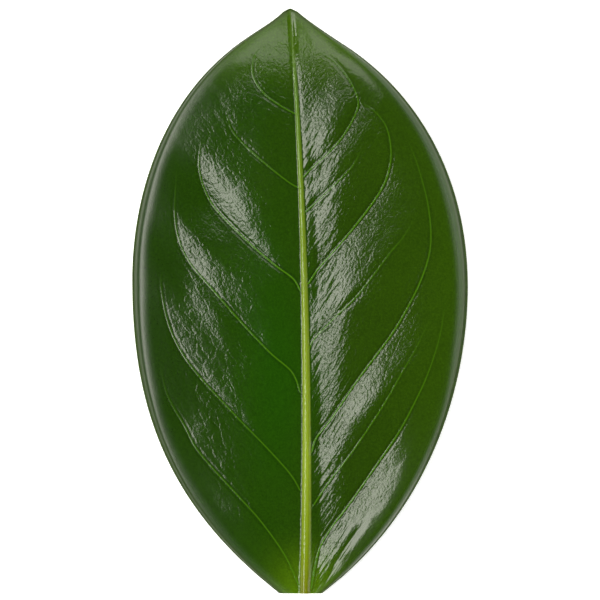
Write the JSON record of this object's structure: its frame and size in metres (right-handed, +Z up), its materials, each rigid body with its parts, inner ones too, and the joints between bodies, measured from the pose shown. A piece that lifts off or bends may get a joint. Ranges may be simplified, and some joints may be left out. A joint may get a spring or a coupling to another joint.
{
  "type": "zz plant leaflet",
  "caption": "Single leathery oval leaflet with a pointed tip, a sunken midrib, quilted side veins and a straight cut base, lying face up.",
  "frame": {"origin": "on the surface that the leaflet lies on, under the middle of its outline", "axes": "+Y along the leaflet from the cut base to the tip, +X to the right margin as seen from above, +Z up out of the glossy upper face"},
  "size_m": [0.046, 0.08, 0.0036],
  "materials": {
    "leaf": "gloss"
  },
  "bodies": {
    "root": {"leaflet": "leaf"}
  },
  "joints": []
}
